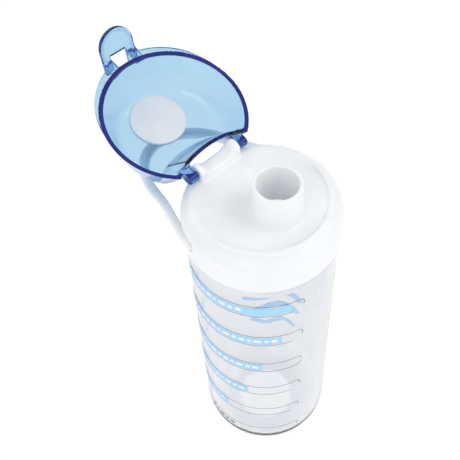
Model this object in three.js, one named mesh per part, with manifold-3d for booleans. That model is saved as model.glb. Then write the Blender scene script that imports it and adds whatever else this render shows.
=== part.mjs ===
// A sports squeeze bottle: a clear bottle with a wide threaded mouth, a white screw cap with a drinking
// spout and a carry loop, and a blue flip lid that seals the spout.
// Millimetres. The origin is the middle of the base, +Z is up, the hinge is at +Y and the spout at -Y.
import * as THREE from "three";
import { mergeVertices } from "three/addons/utils/BufferGeometryUtils.js";
import Module from "manifold-3d";

const wasm = await Module();
wasm.setup();

// ---- driving dimensions ----
const ROUND_SIDES = 48;
const SMALL_ROUND_SIDES = 40;
const GAP = 0.3;
const BITE = 0.5;

const bottle = {
  radius: 37.5,
  wall: 2,
  baseFillet: 20,
  shoulderZ: 183.4,
  shoulderFillet: 3,
  neckRadius: 33.6,
  neckWall: 2,
  neckBreak: 0.6,
  mouthZ: 199.7,
};

const cap = {
  radius: 38.5,
  bottomZ: 184.6,
  edgeRound: 0.9,
  boreRadius: 35.5,
  boreTopZ: 198.4,
  deckUnderZ: 202.4,
  deckZ: 205.2,
  deckRadius: 23.5,
  rimRadius: 31.5,
  rimZ: 206.1,
  shoulderDrop: 7.8,
  // The slope from the rim down to the deck: how far inward, and what share of the drop is behind it.
  basinSlope: [
    [1.4, 0.17],
    [3, 0.6],
    [5.5, 0.85],
  ],
  // The corner between the bore and the deck's underside: how far inward, and how far below the underside.
  underCorner: [
    [2.5, 0],
    [0.8, 1.2],
  ],
};

const thread = {
  pitch: 4,
  turns: 1.5,
  startZ: 188,
  height: 1.3,
  buried: 0.4,
  rootWidth: 1.6,
  crestWidth: 0.8,
  stepsPerTurn: 30,
  runOut: 0.35,
};

const bead = { radius: 32.1, width: 2.6, height: 1.1, halfSpan: THREE.MathUtils.degToRad(92), runOut: 0.2 };

const gasket = { outerRadius: 32.9, innerRadius: 30.8 };

const spout = {
  y: -10.4,
  topZ: 224.7,
  baseRadius: 11.9,
  topRadius: 11.5,
  boreRadius: 9.7,
  boreTaper: 0.6,
  lip: 0.8,
};

const hinge = {
  y: 30.5,
  z: 209.3,
  openAngle: THREE.MathUtils.degToRad(162.5),
  ridgeHalfWidth: 12.6,
  hornWidth: 3.4,
  hornRadius: 4.2,
  saddleTopZ: 208.8,
  saddleEndDrop: 0.6,
  // The ridge's front foot: how far forward of the ridge, and how high over the deck.
  ridgeFoot: [
    [0, 1.9],
    [0.4, 1],
    [1.6, 0.8],
    [5, 0.25],
    [9, -0.3],
  ],
  earGap: 0.4,
  earWidth: 5.5,
  earRadius: 2.9,
  pinRadius: 1.2,
};

const lid = {
  radius: 36.4,
  rimZ: 206.5,
  wall: 2.1,
  roofZ: 229.3,
  roofWall: 2,
  draft: THREE.MathUtils.degToRad(20.8),
  roofFillet: 7,
  lipRadius: 34.8,
  lipForward: 5.6,
  lipThickness: 1.9,
};

// The slanted rear wall of the lid, which leans forward over the hinge ridge.
const scoop = {
  y: 24,
  arcRadius: 54,
  arcHalfWidth: 13,
  halfWidth: 21,
  endY: 29,
  slant: 0.55,
};

const tab = {
  halfWidth: 9.7,
  topY: -40.2,
  topZ: 211.7,
  droop: THREE.MathUtils.degToRad(66.8),
  length: 20.4,
  overlap: 2,
  thickness: 1.9,
  borderWidth: 2,
  borderHeight: 1,
  windowHalfWidth: 4.8,
  windowLength: 6.6,
  windowY: -36.7,
  webRootY: -31.5,
  webOver: 0.8,
};

const seal = { radius: 14.6, faceThickness: 1.2, bossRadius: 12.8, edgeRound: 0.8, cupTopZ: 226.7 };

const loop = {
  rootThickness: 3.4,
  rootHeight: 6,
  tipThickness: 5.8,
  tipHeight: 4.4,
  corner: 0.8,
  rootZ: 195.5,
  tipZ: 186,
  pegRadius: 2,
  pegDepth: 1.9,
  pegY: 14.5,
  steps: 44,
};

// Half of the carry loop's centre line in plan, from the skirt to the tip.
const loopHalfRoute = [
  [37.2, 8],
  [35.6, 16],
  [31.8, 27],
  [27.5, 40],
  [24.2, 54],
  [18.5, 67],
  [10, 75.5],
  [0, 78.5],
];

// ---- shape helpers ----
function toSolid(geometry) {
  const bare = geometry.index ? geometry.toNonIndexed() : geometry.clone();
  bare.deleteAttribute("normal");
  bare.deleteAttribute("uv");
  const merged = mergeVertices(bare, 1e-4);
  const solid = new wasm.Manifold(
    new wasm.Mesh({
      numProp: 3,
      vertProperties: merged.attributes.position.array,
      triVerts: new Uint32Array(merged.index.array),
    }),
  );
  if (solid.volume() <= 0) throw new Error("a shape's faces point inwards");
  return solid;
}

function toGeometry(solid) {
  const mesh = solid.getMesh();
  const geometry = new THREE.BufferGeometry();
  geometry.setAttribute("position", new THREE.BufferAttribute(mesh.vertProperties, 3));
  geometry.setIndex(new THREE.BufferAttribute(mesh.triVerts, 1));
  geometry.computeVertexNormals();
  return geometry;
}

// Points on an elliptical arc, both ends included.
function arc(centreR, centreZ, radiusR, radiusZ, fromDegrees, toDegrees, steps) {
  const points = [];
  for (let i = 0; i <= steps; i += 1) {
    const angle = THREE.MathUtils.degToRad(fromDegrees + ((toDegrees - fromDegrees) * i) / steps);
    points.push([centreR + radiusR * Math.cos(angle), centreZ + radiusZ * Math.sin(angle)]);
  }
  return points;
}

// A solid of revolution about Z. The profile runs anticlockwise in (radius, z), and closes on itself.
function revolve(profile, sides = ROUND_SIDES) {
  const closed = [...profile, profile[0]].map(([r, z]) => new THREE.Vector2(Math.max(r, 0), z));
  const geometry = new THREE.LatheGeometry(closed, sides);
  geometry.rotateX(Math.PI / 2);
  return toSolid(geometry);
}

function shapeOf(points) {
  return new THREE.Shape(points.map(([x, y]) => new THREE.Vector2(x, y)));
}

function extrude(shape, depth, steps = 1) {
  return new THREE.ExtrudeGeometry(shape, { depth, steps, bevelEnabled: false, curveSegments: 12 });
}

// An outline in (x, y), raised from lowZ to highZ.
function raise(shape, lowZ, highZ) {
  return toSolid(extrude(shape, highZ - lowZ).translate(0, 0, lowZ));
}

// An outline in (y, z), run along X from lowX to highX.
function runAlongX(shape, lowX, highX) {
  const geometry = extrude(shape, highX - lowX);
  geometry.applyMatrix4(new THREE.Matrix4().set(0, 0, 1, lowX, 1, 0, 0, 0, 0, 1, 0, 0, 0, 0, 0, 1));
  return toSolid(geometry);
}

// A rod along X with its axis on the hinge line.
function hingeRod(radius, lowX, highX) {
  const geometry = new THREE.CylinderGeometry(radius, radius, highX - lowX, 20);
  geometry.rotateZ(Math.PI / 2);
  geometry.translate((lowX + highX) / 2, hinge.y, hinge.z);
  return toSolid(geometry);
}

// The same stretch of X on the left (-1) or the right (+1) side.
function onSide(side, inner, outer) {
  return side > 0 ? [inner, outer] : [-outer, -inner];
}

// A bar of the given section, whose points are moved by place(sectionX, sectionY, along), along from 0 to 1.
function bendBar(section, steps, place) {
  const geometry = extrude(shapeOf(section), 1, steps);
  const position = geometry.attributes.position;
  for (let i = 0; i < position.count; i += 1) {
    const [x, y, z] = place(position.getX(i), position.getY(i), position.getZ(i));
    position.setXYZ(i, x, y, z);
  }
  return toSolid(geometry);
}

// One at the middle of a sweep, falling to nearly nothing over runOut at each end.
function fadeAtEnds(angle, sweep, runOut) {
  const least = 0.02;
  return Math.max(least, Math.min(1, angle / runOut, (sweep - angle) / runOut));
}

// ---- the screw thread, on the neck and inside the cap ----
function threadRidge(rootRadius, startZ, side) {
  const root = thread.rootWidth / 2;
  const crest = thread.crestWidth / 2;
  const section = [
    [-root, -thread.buried],
    [root, -thread.buried],
    [crest, thread.height],
    [-crest, thread.height],
  ];
  const sweep = thread.turns * 2 * Math.PI;
  const steps = Math.ceil(thread.turns * thread.stepsPerTurn);
  return bendBar(section, steps, (alongZ, outwards, along) => {
    const angle = along * sweep;
    const height = outwards > 0 ? outwards * fadeAtEnds(angle, sweep, thread.runOut) : outwards;
    const r = rootRadius + side * height;
    const z = startZ + thread.pitch * thread.turns * along + side * alongZ;
    return [r * Math.cos(angle), r * Math.sin(angle), z];
  });
}

// ---- the bottle ----
function bottleBody() {
  const { radius, wall, baseFillet, shoulderFillet, shoulderZ, neckBreak, neckRadius, mouthZ } = bottle;
  const inner = radius - wall;
  const innerFillet = baseFillet - wall / 2;
  const neckInner = neckRadius - bottle.neckWall;
  const shoulderLowZ = shoulderZ - shoulderFillet;
  const profile = [
    [0, 0],
    ...arc(radius - baseFillet, baseFillet, baseFillet, baseFillet, -90, 0, 7),
    ...arc(radius - shoulderFillet, shoulderLowZ, shoulderFillet, shoulderFillet, 0, 90, 4),
    [neckRadius, shoulderZ],
    [neckRadius, mouthZ - neckBreak],
    [neckRadius - neckBreak, mouthZ],
    [neckInner + neckBreak, mouthZ],
    [neckInner, mouthZ - neckBreak],
    ...arc(neckInner, shoulderLowZ - shoulderFillet, inner - neckInner, shoulderFillet, 60, 0, 3),
    ...arc(inner - innerFillet, innerFillet + wall, innerFillet, innerFillet, 0, -90, 7),
    [0, wall],
  ];
  return revolve(profile).add(threadRidge(neckRadius, thread.startZ, 1));
}

// ---- the screw cap ----
function capShell() {
  const shoulderZ = cap.rimZ - cap.shoulderDrop;
  const basin = cap.rimZ - cap.deckZ;
  return revolve([
    [0, cap.deckUnderZ],
    ...cap.underCorner.map(([inward, below]) => [cap.boreRadius - inward, cap.deckUnderZ - below]),
    [cap.boreRadius, cap.boreTopZ],
    [cap.boreRadius, cap.bottomZ],
    ...arc(cap.radius - cap.edgeRound, cap.bottomZ + cap.edgeRound, cap.edgeRound, cap.edgeRound, -90, 0, 3),
    ...arc(cap.rimRadius, shoulderZ, cap.radius - cap.rimRadius, cap.shoulderDrop, 0, 90, 8),
    ...cap.basinSlope.map(([inward, share]) => [cap.rimRadius - inward, cap.rimZ - basin * share]),
    [cap.deckRadius, cap.deckZ],
    [0, cap.deckZ],
  ]);
}

function spoutWall() {
  const outer = revolve(
    [
      [0, cap.deckUnderZ + 1],
      [spout.baseRadius, cap.deckUnderZ + 1],
      [spout.baseRadius, cap.deckZ],
      ...arc(spout.topRadius - spout.lip, spout.topZ - spout.lip, spout.lip, spout.lip, 0, 90, 3),
      [0, spout.topZ],
    ],
    SMALL_ROUND_SIDES,
  );
  return outer.translate([0, spout.y, 0]);
}

function spoutBore() {
  const bore = revolve(
    [
      [0, cap.deckUnderZ - 1],
      [spout.boreRadius - spout.boreTaper, cap.deckUnderZ - 1],
      [spout.boreRadius, spout.topZ - spout.lip],
      [spout.boreRadius + spout.lip, spout.topZ],
      [spout.boreRadius + spout.lip, spout.topZ + 1],
      [0, spout.topZ + 1],
    ],
    SMALL_ROUND_SIDES,
  );
  return bore.translate([0, spout.y, 0]);
}

// The ridge that carries the hinge: a horn at each end and a shallow saddle between them.
function hingeRidge() {
  const r = hinge.hornRadius;
  const frontY = hinge.y - r;
  const rearY = hinge.y + r;
  const buriedZ = cap.deckZ - 1;
  const foot = hinge.ridgeFoot.map(([forward, height]) => [frontY - forward, cap.deckZ + height]);
  const profile = [
    [rearY, buriedZ],
    ...arc(hinge.y, hinge.z, r, r, 0, 180, 10),
    ...foot,
    [foot.at(-1)[0], buriedZ],
  ];
  const block = runAlongX(shapeOf(profile), -hinge.ridgeHalfWidth, hinge.ridgeHalfWidth);
  return block.subtract(saddleCut());
}

function saddleCut() {
  const hornTopZ = hinge.z + hinge.hornRadius;
  const halfWidth = hinge.ridgeHalfWidth - hinge.hornWidth;
  const climb = hornTopZ - hinge.saddleEndDrop - hinge.saddleTopZ;
  const depth = 4 * hinge.hornRadius;
  const outline = [];
  const steps = 12;
  for (let i = 0; i <= steps; i += 1) {
    const across = (2 * i) / steps - 1;
    outline.push([across * halfWidth, hinge.saddleTopZ + climb * across ** 4]);
  }
  outline.push([halfWidth, hornTopZ + 1], [-halfWidth, hornTopZ + 1]);
  const geometry = extrude(shapeOf(outline), depth);
  geometry.rotateX(Math.PI / 2);
  geometry.translate(0, hinge.y + depth / 2, 0);
  return toSolid(geometry);
}

// The snap bead round the front of the deck.
function snapBead() {
  const half = bead.width / 2;
  const section = [[-1, -half], [-1, half], ...arc(0, 0, bead.height, half, 90, -90, 6)];
  const sweep = 2 * bead.halfSpan;
  return bendBar(section, 44, (up, outwards, along) => {
    const angle = along * sweep;
    const z = cap.rimZ + (up > 0 ? up * fadeAtEnds(angle, sweep, bead.runOut) : up);
    const r = bead.radius + outwards;
    const heading = angle - Math.PI / 2 - bead.halfSpan;
    return [r * Math.cos(heading), r * Math.sin(heading), z];
  });
}

function pinSocket(side) {
  const deepEnd = hinge.ridgeHalfWidth - hinge.hornWidth + BITE;
  return hingeRod(hinge.pinRadius + GAP, ...onSide(side, deepEnd, hinge.ridgeHalfWidth + 1));
}

// A rod from innerR to outerR, square to the skirt where the carry loop meets it.
function loopPeg(side, radius, innerR, outerR) {
  const angle = Math.asin(loop.pegY / cap.radius);
  const geometry = new THREE.CylinderGeometry(radius, radius, outerR - innerR, 16);
  geometry.rotateZ(Math.PI / 2);
  geometry.translate((innerR + outerR) / 2, 0, loop.rootZ);
  geometry.rotateZ(side > 0 ? angle : Math.PI - angle);
  return toSolid(geometry);
}

function screwCap() {
  let solid = capShell().add(hingeRidge()).add(snapBead()).add(spoutWall());
  solid = solid.add(threadRidge(cap.boreRadius, thread.startZ - thread.pitch / 2, -1));
  solid = solid.subtract(spoutBore());
  for (const side of [-1, 1]) {
    solid = solid.subtract(pinSocket(side));
    solid = solid.subtract(loopPeg(side, loop.pegRadius + GAP, cap.radius - loop.pegDepth, cap.radius + 2));
  }
  return solid;
}

function neckGasket() {
  const lowZ = bottle.mouthZ + GAP;
  const highZ = cap.deckUnderZ - GAP;
  return revolve([
    [gasket.innerRadius, lowZ],
    [gasket.outerRadius, lowZ],
    [gasket.outerRadius, highZ],
    [gasket.innerRadius, highZ],
  ]);
}

// ---- the carry loop ----
function loopRoute() {
  const mirrored = loopHalfRoute.slice(0, -1).reverse().map(([x, y]) => [-x, y]);
  const lowY = loopHalfRoute[0][1];
  const highY = loopHalfRoute.at(-1)[1];
  const points = [...loopHalfRoute, ...mirrored].map(([x, y]) => {
    const z = THREE.MathUtils.mapLinear(y, lowY, highY, loop.rootZ, loop.tipZ);
    return new THREE.Vector3(x, y, z);
  });
  return new THREE.CatmullRomCurve3(points);
}

// The loop's section is tall and thin where it leaves the skirt, and low and wide at the finger's end.
function carryLoop() {
  const route = loopRoute();
  const { corner } = loop;
  const halfT = loop.rootThickness / 2;
  const halfH = loop.rootHeight / 2;
  const section = [
    ...arc(halfT - corner, halfH - corner, corner, corner, 0, 90, 2),
    ...arc(corner - halfT, halfH - corner, corner, corner, 90, 180, 2),
    ...arc(corner - halfT, corner - halfH, corner, corner, 180, 270, 2),
    ...arc(halfT - corner, corner - halfH, corner, corner, 270, 360, 2),
  ];
  const bar = bendBar(section, loop.steps, (out, up, along) => {
    const centre = route.getPoint(along);
    const tangent = route.getTangent(along);
    const flat = Math.hypot(tangent.x, tangent.y);
    const tipward = Math.sin(Math.PI * along);
    const across = out * THREE.MathUtils.lerp(1, loop.tipThickness / loop.rootThickness, tipward);
    const rise = up * THREE.MathUtils.lerp(1, loop.tipHeight / loop.rootHeight, tipward);
    return [centre.x - (tangent.y / flat) * across, centre.y + (tangent.x / flat) * across, centre.z + rise];
  });
  const keepOut = revolve([
    [0, cap.bottomZ],
    [cap.radius + GAP, cap.bottomZ],
    [cap.radius + GAP, cap.rimZ],
    [0, cap.rimZ],
  ]);
  let solid = bar.subtract(keepOut);
  for (const side of [-1, 1]) {
    solid = solid.add(loopPeg(side, loop.pegRadius, cap.radius - loop.pegDepth + GAP, cap.radius + 1));
  }
  return solid;
}

// ---- the flip lid, modelled closed ----
// The dome's side and roof: a drafted wall, a fillet that runs on from it, and the flat top.
function domeProfile(rimR, roofZ, fillet) {
  const filletZ = roofZ - fillet;
  const wallTopZ = filletZ + fillet * Math.sin(lid.draft);
  const wallTopR = rimR - (wallTopZ - lid.rimZ) * Math.tan(lid.draft);
  const filletR = wallTopR - fillet * Math.cos(lid.draft);
  const start = THREE.MathUtils.radToDeg(lid.draft);
  return [[rimR, lid.rimZ], ...arc(filletR, filletZ, fillet, fillet, start, 90, 6), [0, roofZ]];
}

function domeOuter() {
  return revolve([[0, lid.rimZ], ...domeProfile(lid.radius, lid.roofZ, lid.roofFillet)]);
}

function domeInner() {
  const rimR = lid.radius - lid.wall;
  const belowZ = lid.rimZ - 1;
  const upper = domeProfile(rimR, lid.roofZ - lid.roofWall, lid.roofFillet - lid.wall);
  return revolve([[0, belowZ], [rimR, belowZ], ...upper]);
}

// Everything behind the slanted rear wall: a shallow arc over the ridge, with a straight stretch each side.
function behindScoop(forward) {
  const middle = [];
  const steps = 10;
  for (let i = 0; i <= steps; i += 1) {
    const x = scoop.arcHalfWidth * ((2 * i) / steps - 1);
    const rise = scoop.arcRadius - Math.sqrt(scoop.arcRadius ** 2 - x ** 2);
    middle.push([x, scoop.y + rise - forward]);
  }
  const outline = [
    [-scoop.halfWidth, scoop.endY - forward],
    ...middle,
    [scoop.halfWidth, scoop.endY - forward],
    [scoop.halfWidth, 2 * lid.radius],
    [-scoop.halfWidth, 2 * lid.radius],
  ];
  const lowZ = lid.rimZ - 2;
  const geometry = extrude(shapeOf(outline), lid.roofZ + 2 - lowZ);
  geometry.translate(0, 0, lowZ - lid.rimZ);
  geometry.applyMatrix4(new THREE.Matrix4().set(1, 0, 0, 0, 0, 1, -scoop.slant, 0, 0, 0, 1, lid.rimZ, 0, 0, 0, 1));
  return toSolid(geometry);
}

function hingeEar(side) {
  const r = hinge.earRadius;
  const frontY = scoop.y + 1;
  const profile = shapeOf([
    [frontY, hinge.z - r + BITE],
    ...arc(hinge.y, hinge.z, r, r, -70, 90, 8),
    [frontY, hinge.z + r],
  ]);
  const inner = hinge.ridgeHalfWidth + hinge.earGap;
  const outer = inner + hinge.earWidth;
  const hole = hingeRod(hinge.pinRadius + GAP, ...onSide(side, inner - 1, outer + 1));
  return runAlongX(profile, ...onSide(side, inner, outer)).subtract(hole);
}

// A crescent that widens the rim towards the front.
function frontLip() {
  const disc = revolve([
    [0, lid.rimZ],
    [lid.lipRadius, lid.rimZ],
    [lid.lipRadius, lid.rimZ + lid.lipThickness],
    [0, lid.rimZ + lid.lipThickness],
  ]);
  return disc.translate([0, -lid.lipForward, 0]);
}

// A finger tab's outline in its own plane: straight sides from startT and a round end.
function tabOutline(inset, startT) {
  const half = tab.halfWidth - inset;
  const shape = new THREE.Shape();
  shape.moveTo(-half, startT);
  shape.lineTo(half, startT);
  shape.lineTo(half, tab.length - tab.halfWidth);
  shape.absarc(0, tab.length - tab.halfWidth, half, 0, Math.PI, false);
  shape.lineTo(-half, startT);
  return shape;
}

// The tab's plate with its raised border. Two webs tie it to the lip, one on each side of the slot.
function fingerTab() {
  const border = raise(tabOutline(0, -tab.overlap), -BITE, tab.borderHeight);
  const hollow = raise(tabOutline(tab.borderWidth, -2 * tab.overlap), -2 * BITE, 2 * tab.borderHeight);
  const plate = raise(tabOutline(0, -tab.overlap), -tab.thickness, 0).add(border.subtract(hollow));
  const place = new THREE.Matrix4()
    .makeTranslation(0, tab.topY, tab.topZ)
    .multiply(new THREE.Matrix4().makeRotationX(tab.droop))
    .multiply(new THREE.Matrix4().makeScale(1, -1, -1));
  const placed = toSolid(toGeometry(plate).applyMatrix4(place));
  return placed.add(tabWeb(-1)).add(tabWeb(1));
}

function tabWeb(side) {
  const lean = 1 / Math.tan(tab.droop);
  const topZ = lid.rimZ + lid.lipThickness + tab.webOver;
  const plateY = (z) => tab.topY + (z - tab.topZ) * lean - BITE;
  const profile = shapeOf([
    [plateY(lid.rimZ), lid.rimZ],
    [tab.webRootY, lid.rimZ],
    [tab.webRootY, topZ],
    [plateY(topZ), topZ],
  ]);
  return runAlongX(profile, ...onSide(side, tab.windowHalfWidth, tab.halfWidth));
}

// The slot between the lid's wall and the tab's plate, with the lip cut away there too.
function tabWindow() {
  const lowZ = tab.topZ - tab.windowLength * Math.sin(tab.droop);
  const highZ = tab.topZ + 2 * tab.overlap;
  const profile = shapeOf([
    [2 * tab.topY, lowZ],
    [tab.windowY, lowZ],
    [tab.windowY, highZ],
    [2 * tab.topY, highZ],
  ]);
  return runAlongX(profile, -tab.windowHalfWidth, tab.windowHalfWidth);
}

function sealBoss() {
  const rootZ = lid.roofZ - lid.roofWall + BITE;
  const faceZ = spout.topZ + GAP + seal.faceThickness + GAP;
  const boss = revolve(
    [
      [0, faceZ],
      [seal.bossRadius, faceZ],
      [seal.bossRadius, rootZ],
      [0, rootZ],
    ],
    SMALL_ROUND_SIDES,
  );
  return boss.translate([0, spout.y, 0]);
}

function flipLid() {
  const outside = domeOuter().add(frontLip()).add(fingerTab()).subtract(tabWindow());
  const hollow = domeInner().subtract(behindScoop(lid.wall));
  const shell = outside.subtract(behindScoop(0)).subtract(hollow);
  return shell.add(sealBoss()).add(hingeEar(-1)).add(hingeEar(1));
}

// A silicone cup pressed over the boss on the lid's roof.
function spoutSeal() {
  const skirtInner = seal.bossRadius + GAP;
  const faceZ = spout.topZ + GAP;
  const round = seal.edgeRound;
  const cup = revolve(
    [
      [0, faceZ],
      ...arc(seal.radius - round, faceZ + round, round, round, -90, 0, 4),
      [seal.radius, seal.cupTopZ],
      [skirtInner, seal.cupTopZ],
      [skirtInner, faceZ + seal.faceThickness],
      [0, faceZ + seal.faceThickness],
    ],
    SMALL_ROUND_SIDES,
  );
  return cup.translate([0, spout.y, 0]);
}

function hingePin(side) {
  const deepEnd = hinge.ridgeHalfWidth - hinge.hornWidth + BITE + GAP;
  const outerEnd = hinge.ridgeHalfWidth + hinge.earGap + hinge.earWidth - 0.1;
  return hingeRod(hinge.pinRadius, ...onSide(side, deepEnd, outerEnd));
}

// ---- materials and assembly ----
function plastic(color, roughness, opacity = 1) {
  return new THREE.MeshStandardMaterial({
    color,
    roughness,
    metalness: 0,
    opacity,
    transparent: opacity < 1,
  });
}

function part(name, solid, material) {
  const mesh = new THREE.Mesh(toGeometry(solid), material);
  mesh.name = name;
  return mesh;
}

const group = new THREE.Group();
group.add(part("bottle_body", bottleBody(), plastic(0xe4ebf0, 0.08, 0.35)));
group.add(part("screw_cap", screwCap(), plastic(0xf4f6f7, 0.4)));
group.add(part("neck_gasket", neckGasket(), plastic(0xeeeeec, 0.7)));
group.add(part("carry_loop", carryLoop(), plastic(0xf4f6f7, 0.42)));

// The lid stands open: its pieces are moved to the hinge and turned back about it.
const lidFrame = new THREE.Group();
lidFrame.position.set(0, hinge.y, hinge.z);
lidFrame.rotation.x = -hinge.openAngle;
const lidPieces = [
  part("flip_lid", flipLid(), plastic(0x8fc4ee, 0.1, 0.6)),
  part("spout_seal", spoutSeal(), plastic(0xf2f4f5, 0.6)),
  part("hinge_pin_left", hingePin(-1), plastic(0x8fc4ee, 0.1, 0.6)),
  part("hinge_pin_right", hingePin(1), plastic(0x8fc4ee, 0.1, 0.6)),
];
for (const piece of lidPieces) {
  piece.position.set(0, -hinge.y, -hinge.z);
  lidFrame.add(piece);
}
group.add(lidFrame);

export default group;
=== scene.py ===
"""Looks for a sports bottle: clear body, white cap with spout and carry loop, clear blue flip lid.

Shapes are worked out in millimetres, in the CAD's own frame, and turned into metres when a mesh is made.
The cap and the lid are distance fields, so that their fillets are smooth and light passes cleanly.
The lid's pieces are shaped closed, and turned about the hinge to the open place that they rest in.
"""

import itertools
import math

import bpy
import numpy as np
import openvdb
from mathutils import Matrix, Vector


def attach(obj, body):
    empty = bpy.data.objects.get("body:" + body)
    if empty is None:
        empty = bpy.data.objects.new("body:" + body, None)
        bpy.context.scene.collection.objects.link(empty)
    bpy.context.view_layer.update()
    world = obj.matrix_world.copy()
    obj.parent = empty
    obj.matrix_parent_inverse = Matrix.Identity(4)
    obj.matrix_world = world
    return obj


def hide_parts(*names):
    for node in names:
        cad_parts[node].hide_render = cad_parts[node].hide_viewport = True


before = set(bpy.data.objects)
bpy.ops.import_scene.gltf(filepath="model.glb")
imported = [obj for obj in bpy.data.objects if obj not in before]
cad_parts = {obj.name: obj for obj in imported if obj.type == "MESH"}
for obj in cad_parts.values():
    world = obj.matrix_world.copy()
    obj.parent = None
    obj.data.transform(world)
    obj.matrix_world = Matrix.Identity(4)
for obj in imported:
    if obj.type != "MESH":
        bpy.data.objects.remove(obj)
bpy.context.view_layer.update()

MM = 0.001
FAR = 1000.0
TURN = 2 * math.pi
PAST_AXIS = -12.0  # where a profile's points on the axis are moved to
STEP = 0.42
LEAST_STEEPNESS, SHADING_REACH = 0.25, 0.12
MARGIN, SMALL_MARGIN = 1.5, 1.0  # round a piece, in the box that its field is worked out in
BURIED, PAST = 1.0, 2.0  # how far a shape reaches into the next, and a cutter runs past

# ---- driving dimensions: the CAD's, but for the ridge's foot and the fillets ----
BODY_R, BODY_WALL, BASE_FILLET = 37.5, 2.0, 20.0
SHOULDER_Z, SHOULDER_FILLET = 183.4, 3.0
NECK_R, NECK_WALL, NECK_BREAK, NECK_ROOT, MOUTH_Z = 33.6, 2.0, 0.6, 0.6, 199.7
BODY_RINGS, BODY_SIDES, SEAL_SIDES = 12, 192, 96

CAP_R, CAP_BOTTOM_Z, CAP_EDGE = 38.5, 184.6, 0.9
CAP_BORE_R, CAP_BORE_TOP_Z = 35.5, 198.4
DECK_UNDER_Z, DECK_Z, DECK_R = 202.4, 205.2, 23.5
CAP_RIM_R, CAP_RIM_Z, CAP_SHOULDER_DROP = 31.5, 206.1, 7.8
UNDER_CORNER = [(2.5, 0), (0.8, 1.2)]  # in from the bore, and below the deck's underside
BASIN_SLOPE = [(1.4, 0.15), (3, 0.54), (5.5, 0.765)]  # in from the rim, and down from it

THREAD_PITCH, THREAD_TURNS, THREAD_START_Z = 4.0, 1.5, 188.0
THREAD_HEIGHT, THREAD_BURIED, THREAD_HALF_WIDTH, THREAD_RUN_OUT = 1.3, 0.4, 0.75, 0.35

BEAD_R, BEAD_HALF_WIDTH, BEAD_HEIGHT = 32.1, 1.3, 1.1
BEAD_HALF_SPAN, BEAD_RUN_OUT, BEAD_SINK, BEAD_FILLET = math.radians(92), 0.2, 1.5, 0.7

SPOUT_Y, SPOUT_TOP_Z, SPOUT_BASE_R, SPOUT_TOP_R = -10.4, 224.7, 11.9, 11.5
SPOUT_BORE_R, SPOUT_TAPER, SPOUT_LIP, SPOUT_FILLET = 9.7, 0.6, 0.8, 2.4

HINGE_Y, HINGE_Z, OPEN_ANGLE = 30.5, 209.3, math.radians(162.5)
RIDGE_HALF, HORN_W, HORN_R, SADDLE_Z, SADDLE_END_DROP = 12.6, 3.4, 4.2, 208.8, 0.6
RIDGE_FOOT = [(0, 1.6), (1.6, 0.0), (5, -0.8), (9, -1.0)]  # forward of the ridge, and over the deck
RIDGE_FILLET, RIDGE_END_FILLET, RIDGE_CROWN, RIDGE_EDGE = 4.0, 0.6, 2.4, 1.0
SADDLE_REACH, SADDLE_STEEPNESS = 1.6, 0.7
EAR_GAP, EAR_W, EAR_R = 0.4, 5.5, 2.9
EAR_UNDER, EAR_ROOT, EAR_EDGE, EAR_FILLET = 0.5, 1.0, 0.5, 0.4

LID_R, LID_RIM_Z, LID_WALL, LID_ROOF_Z, LID_ROOF_WALL = 36.4, 206.5, 2.1, 229.3, 2.0
LID_DRAFT, LID_FILLET = math.radians(20.8), 7.0
LID_HOLLOW_BELOW, LID_BREAK, LID_INNER_FILLET = 3.0, 0.5, 1.2
LIP_R, LIP_FORWARD, LIP_T, LIP_FILLET = 34.8, 5.6, 1.9, 0.6
RIM_BAND_H, RIM_BAND_IN, RIM_BAND_OUT = 0.35, 0.6, 0.1

SCOOP_Y, SCOOP_ARC_R, SCOOP_ARC_HALF = 24.0, 54.0, 13.0
SCOOP_HALF, SCOOP_END_Y, SCOOP_SLANT = 21.0, 29.0, 0.55

TAB_HALF, TAB_TOP_Y, TAB_TOP_Z, TAB_DROOP = 9.7, -40.2, 211.7, math.radians(66.8)
TAB_LENGTH, TAB_OVERLAP, TAB_T, TAB_EDGE, TAB_FORWARD = 20.4, 2.0, 1.9, 0.8, 11.0
TAB_BORDER, TAB_BORDER_H, TAB_BORDER_ROOT, TAB_PANEL_PAST = 2.0, 1.0, 0.5, 9.0
WINDOW_HALF, WINDOW_LENGTH, WINDOW_Y, WINDOW_EDGE = 4.8, 6.6, -36.7, 0.4
WEB_ROOT_Y, WEB_OVER, WEB_INTO_TAB, WEB_EDGE = -31.5, 0.8, 0.5, 0.4

SEAL_R, SEAL_FACE_T, SEAL_BOSS_R, SEAL_EDGE, SEAL_TOP_Z = 14.6, 1.2, 12.8, 0.8, 226.7
TOUCH = 0.3

LOOP_ROOT_T, LOOP_ROOT_H, LOOP_TIP_T, LOOP_TIP_H = 3.4, 6.0, 5.8, 4.4
LOOP_ROOT_Z, LOOP_TIP_Z, LOOP_ROUNDING, LOOP_SIDES = 195.5, 186.0, 0.62, 28
LOOP_HALF_ROUTE = [
    (37.2, 8), (35.6, 16), (31.8, 27), (27.5, 40), (24.2, 54), (18.5, 67), (10, 75.5), (0, 78.5),
]

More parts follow.
